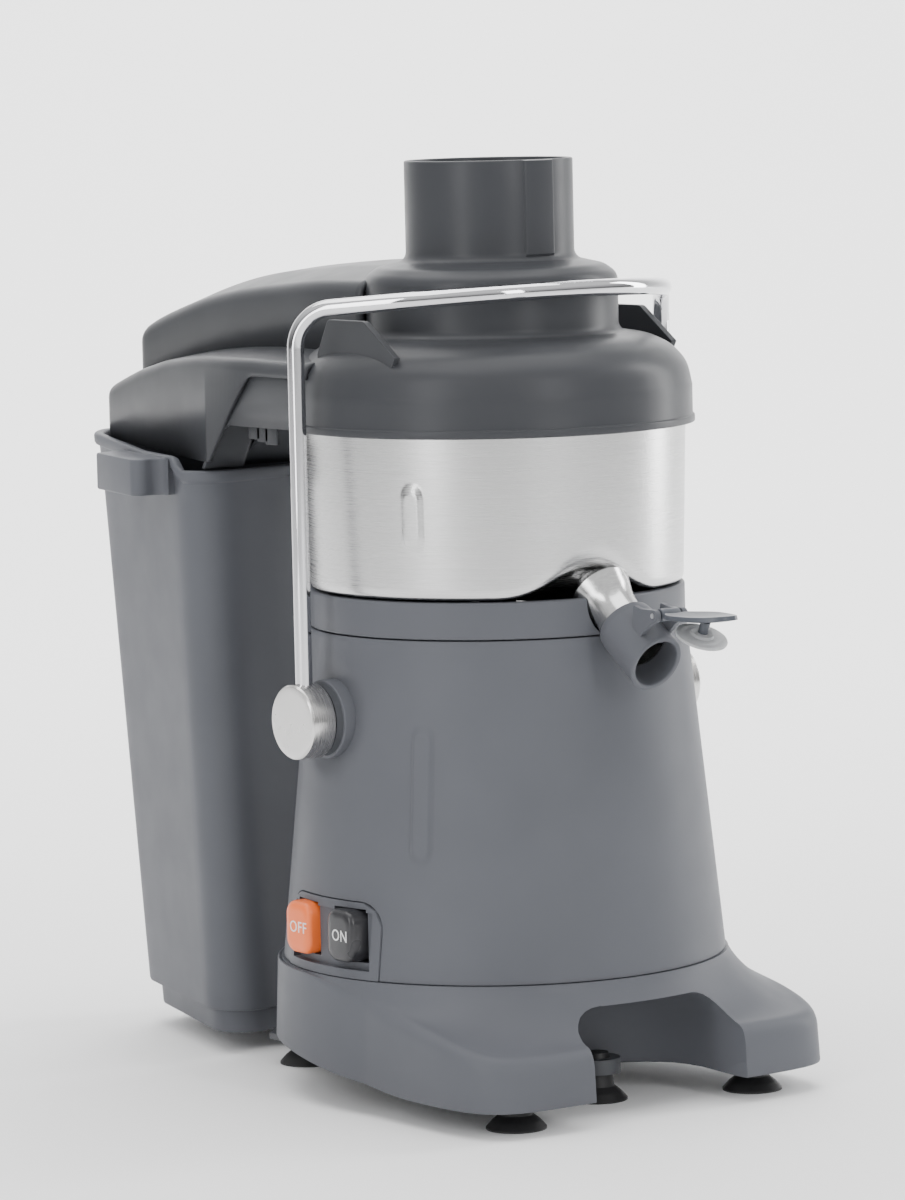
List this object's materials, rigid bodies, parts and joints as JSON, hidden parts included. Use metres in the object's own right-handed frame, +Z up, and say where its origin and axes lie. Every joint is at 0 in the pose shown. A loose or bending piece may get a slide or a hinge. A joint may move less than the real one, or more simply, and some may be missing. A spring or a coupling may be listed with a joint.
{
  "type": "centrifugal juicer",
  "caption": "Upright centrifugal juicer: round motor base with toes, steel bowl with a flapped spout, domed lid with a wide feed tube, swinging locking bail and a rear pulp bin.",
  "frame": {"origin": "bottom centre of the whole juicer's box, on the surface it stands on", "axes": "+Z up along the drive axis, -Y towards the spout, +Y towards the pulp bin, -X towards the switches"},
  "size_m": [0.2288, 0.4414, 0.4385],
  "materials": {
    "blue_grey_plastic": "moulded, satin, blue-grey",
    "satin_grey_plastic": "moulded, smooth satin, darker blue-grey",
    "dark_grey_plastic": "moulded, fine grain",
    "light_grey_plastic": "moulded, satin",
    "black_plastic": "moulded, satin",
    "orange_plastic": "moulded, satin orange",
    "brushed_steel": "brushed round the axis",
    "chromed_steel": "polished",
    "zinc_steel": "bright zinc",
    "black_rubber": "moulded, matt",
    "translucent_seal": "translucent grey silicone",
    "core_iron": "laminated, varnished",
    "copper_bars": "turned copper",
    "cast_bracket": "as cast",
    "circuit_board": "lacquered board"
  },
  "bodies": {
    "base": {"base_shell": "blue_grey_plastic", "bottom_plate": "dark_grey_plastic", "foot_front_left": "black_rubber", "foot_front_right": "black_rubber", "foot_front_centre": "black_rubber", "foot_rear_left": "black_rubber", "foot_rear_right": "black_rubber", "plate_screws": "zinc_steel", "cord_inlet": "black_plastic", "motor_housing": "blue_grey_plastic", "housing_collar": "blue_grey_plastic", "switch_panel": "blue_grey_plastic", "switch_block": "black_plastic", "off_spring": "zinc_steel", "on_spring": "zinc_steel", "pivot_washers": "dark_grey_plastic", "pivot_bolts": "zinc_steel", "bowl": "brushed_steel", "spout_tube": "brushed_steel", "spout_nozzle": "blue_grey_plastic", "hinge_pin": "zinc_steel", "lid": "satin_grey_plastic", "lid_hood": "satin_grey_plastic", "feed_tube": "satin_grey_plastic", "pulp_chute": "satin_grey_plastic", "lid_seal": "translucent_seal", "motor_stator": "core_iron", "bearing_lower": "zinc_steel", "bearing_upper": "zinc_steel", "motor_bracket_lower": "cast_bracket", "motor_bracket_upper": "cast_bracket", "motor_shelf": "dark_grey_plastic", "motor_dampers": "black_rubber", "shaft_seal": "black_rubber", "control_board": "circuit_board", "suppressor": "light_grey_plastic", "lock_switch": "black_plastic"},
    "bail": {"bail": "chromed_steel", "knob_left": "brushed_steel", "knob_right": "brushed_steel"},
    "flap": {"spout_flap": "light_grey_plastic", "flap_seal": "translucent_seal"},
    "off_key": {"off_button": "orange_plastic"},
    "on_key": {"on_button": "black_plastic"},
    "rotor": {"motor_shaft": "zinc_steel", "motor_rotor": "core_iron", "commutator": "copper_bars", "cooling_fan": "black_plastic", "drive_coupling": "black_plastic", "filter_basket": "brushed_steel"},
    "bin": {"pulp_bin": "blue_grey_plastic"}
  },
  "joints": [
    {"name": "bail_swing", "type": "hinge", "parent": "base", "child": "bail", "pos_m": [0, -0.0364, 0.181], "axis": [1, 0, 0], "range_deg": [0, 100]},
    {"name": "flap_hinge", "type": "hinge", "parent": "base", "child": "flap", "pos_m": [0, -0.1752, 0.2325], "axis": [1, 0, 0], "range_deg": [0, 90]},
    {"name": "off_press", "type": "slide", "parent": "base", "child": "off_key", "axis": [1, 0, 0], "range_m": [0, 0.0025], "stiffness_N_per_m": 900, "springref_m": -0.0005},
    {"name": "on_press", "type": "slide", "parent": "base", "child": "on_key", "axis": [1, 0, 0], "range_m": [0, 0.0025], "stiffness_N_per_m": 900, "springref_m": -0.0005},
    {"name": "rotor_spin", "type": "hinge", "parent": "base", "child": "rotor", "pos_m": [0, -0.0437, 0.16], "axis": [0, 0, 1], "continuous": true},
    {"name": "bin_slide", "type": "slide", "parent": "base", "child": "bin", "axis": [0, 1, 0], "range_m": [0, 0.2]}
  ]
}
